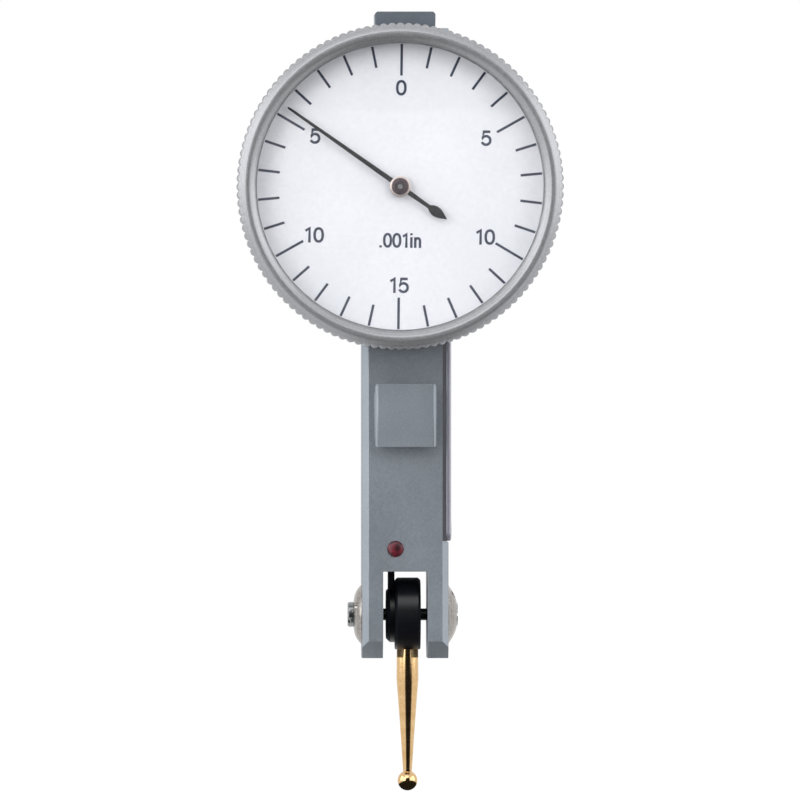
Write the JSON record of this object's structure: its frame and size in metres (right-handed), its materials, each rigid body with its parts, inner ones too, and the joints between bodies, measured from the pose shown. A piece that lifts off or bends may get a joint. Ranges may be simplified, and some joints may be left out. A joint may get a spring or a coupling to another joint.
{
  "type": "dial test indicator",
  "caption": "Slim lever-type dial test indicator: knurled rotating dial, swivelling ball-tipped contact, geared movement and three dovetail mounts.",
  "frame": {"origin": "middle of the rear dovetail's outer face, straight behind the dial's centre height", "axes": "+Y out of the rear dovetail face (the dial looks towards -Y); +Z along the body, away from the contact ball; +X to the right of someone who reads the dial"},
  "size_m": [0.0326, 0.0173, 0.0781],
  "materials": {
    "satin_body": "fine satin, matt-chromed aluminium casting",
    "satin_cover": "satin sheet",
    "turned_bezel": "satin turned, straight knurl",
    "case_metal": "turned",
    "dial_enamel": "matt white enamel with black printing",
    "crystal_clear": "clear domed acrylic",
    "screw_steel": "nickel-plated steel",
    "nickel_nut": "nickel-plated, lathe finished",
    "spring_steel": "bright spring wire",
    "hairspring_alloy": "bronze strip",
    "ruby": "polished synthetic ruby",
    "movement_brass": "brushed brass",
    "arbor_steel": "polished steel",
    "black_steel": "black oxide steel",
    "gold_stem": "gold-plated, turned",
    "pointer_black": "blue-black lacquer",
    "red_lacquer": "hard sealing lacquer"
  },
  "bodies": {
    "housing": {"housing": "satin_body", "side_cover": "satin_cover", "cover_screws": "screw_steel", "dial_case": "case_metal", "case_screws": "screw_steel", "friction_ring": "spring_steel", "pivot_jewels": "ruby", "center_jewel": "ruby", "pinion_cock": "movement_brass", "cock_screw": "screw_steel", "train_bridge": "movement_brass", "bridge_screws": "screw_steel", "hairspring": "hairspring_alloy", "spring_stud": "movement_brass", "spring_post": "arbor_steel", "banking_pin": "arbor_steel", "centring_spring": "spring_steel", "bearing_screw_left": "screw_steel", "bearing_screw_right": "screw_steel", "lock_nut_left": "nickel_nut", "lock_nut_right": "nickel_nut", "stop_screw": "screw_steel", "sealing_lacquer": "red_lacquer"},
    "bezel": {"bezel": "turned_bezel", "crystal": "crystal_clear", "dial_face": "dial_enamel"},
    "lever": {"lever_arm": "black_steel", "sector_gear": "movement_brass", "sector_rivets": "arbor_steel", "lever_axle": "black_steel", "lever_pin": "arbor_steel", "clutch_spring": "spring_steel", "clutch_nut": "movement_brass"},
    "contact": {"contact_holder": "black_steel", "contact_stem": "gold_stem", "contact_ball": "gold_stem"},
    "crown_train": {"crown_arbor": "arbor_steel", "crown_wheel": "movement_brass"},
    "pointer": {"pointer_arbor": "arbor_steel", "pointer_hand": "pointer_black", "pointer_bush": "movement_brass", "spring_collet": "movement_brass"}
  },
  "joints": [
    {"name": "bezel_turn", "type": "hinge", "parent": "housing", "child": "bezel", "pos_m": [-0.0006, -0.0145, 0], "axis": [0, 1, 0], "continuous": true},
    {"name": "lever_swing", "type": "hinge", "parent": "housing", "child": "lever", "pos_m": [0, -0.0066, -0.0428], "axis": [1, 0, 0], "range_deg": [-1.55, 1.55], "stiffness_Nm_per_rad": 0.09, "deforming": ["centring_spring"]},
    {"name": "contact_swivel", "type": "hinge", "parent": "lever", "child": "contact", "pos_m": [0.0002, -0.0066, -0.0428], "axis": [1, 0, 0], "range_deg": [-110, 110]},
    {"name": "crown_spin", "type": "hinge", "parent": "housing", "child": "crown_train", "pos_m": [0, -0.0066, 0], "axis": [1, 0, 0], "range_deg": [-54, 54]},
    {"name": "pointer_spin", "type": "hinge", "parent": "housing", "child": "pointer", "pos_m": [-0.0006, -0.012, 0], "axis": [0, 1, 0], "range_deg": [-214, 214], "deforming": ["hairspring"]}
  ],
  "couplings": [
    {"joint": "crown_spin", "follows": "lever_swing", "ratio": -34.333},
    {"joint": "pointer_spin", "follows": "lever_swing", "ratio": -137.33}
  ]
}
